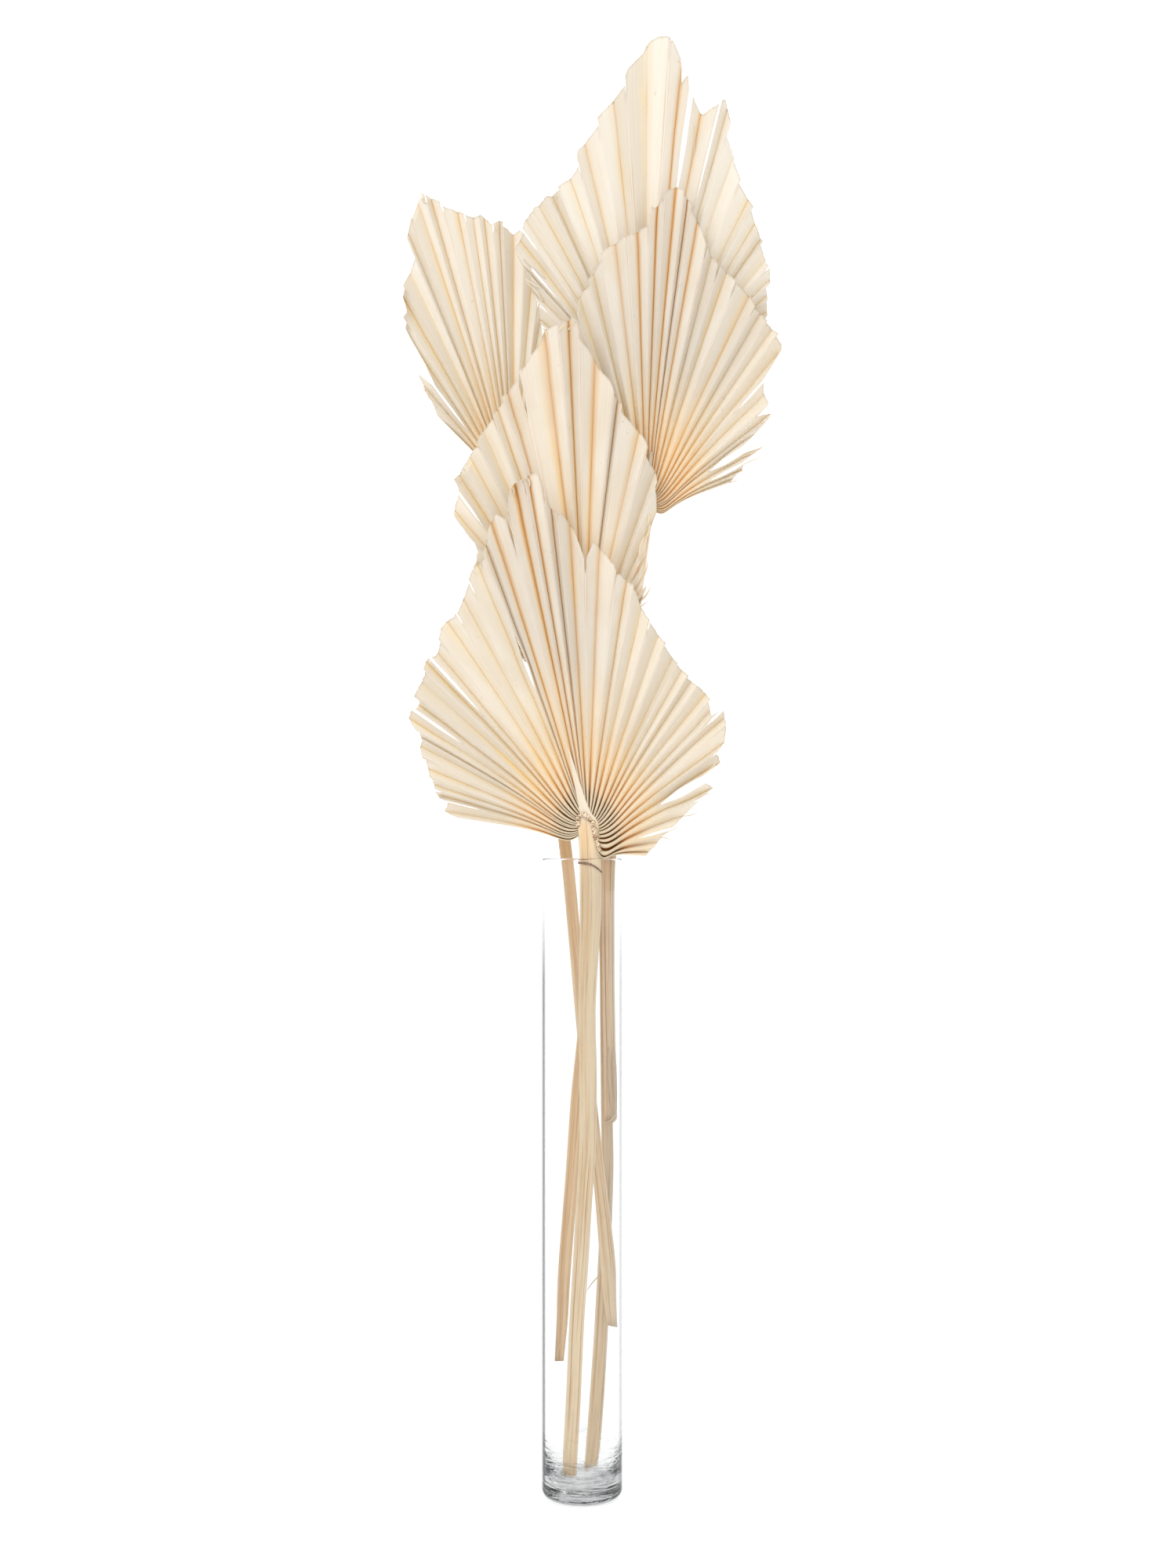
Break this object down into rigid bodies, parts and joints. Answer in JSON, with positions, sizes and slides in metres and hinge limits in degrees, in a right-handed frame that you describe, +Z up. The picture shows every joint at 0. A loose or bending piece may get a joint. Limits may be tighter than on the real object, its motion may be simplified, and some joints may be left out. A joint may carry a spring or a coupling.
{
  "type": "dried fan palm leaves in a glass vase",
  "caption": "Dried, bleached and trimmed fan palm leaves on long stems, standing in a tall slim clear glass cylinder vase.",
  "frame": {"origin": "centre of the vase's flat underside", "axes": "+Z up along the vase's axis, +X to the right and +Y away from the viewer of the pictured side"},
  "size_m": [0.308, 0.1122, 1.1626],
  "materials": {
    "glass": "polished",
    "dried_leaf_front": "matte",
    "dried_leaf_middle": "matte",
    "dried_leaf_right": "matte",
    "dried_leaf_top": "matte",
    "dried_leaf_left": "matte"
  },
  "bodies": {
    "root": {"vase": "glass", "leaf_front": "dried_leaf_front", "leaf_middle": "dried_leaf_middle", "leaf_right": "dried_leaf_right", "leaf_top": "dried_leaf_top", "leaf_left": "dried_leaf_left"}
  },
  "joints": []
}
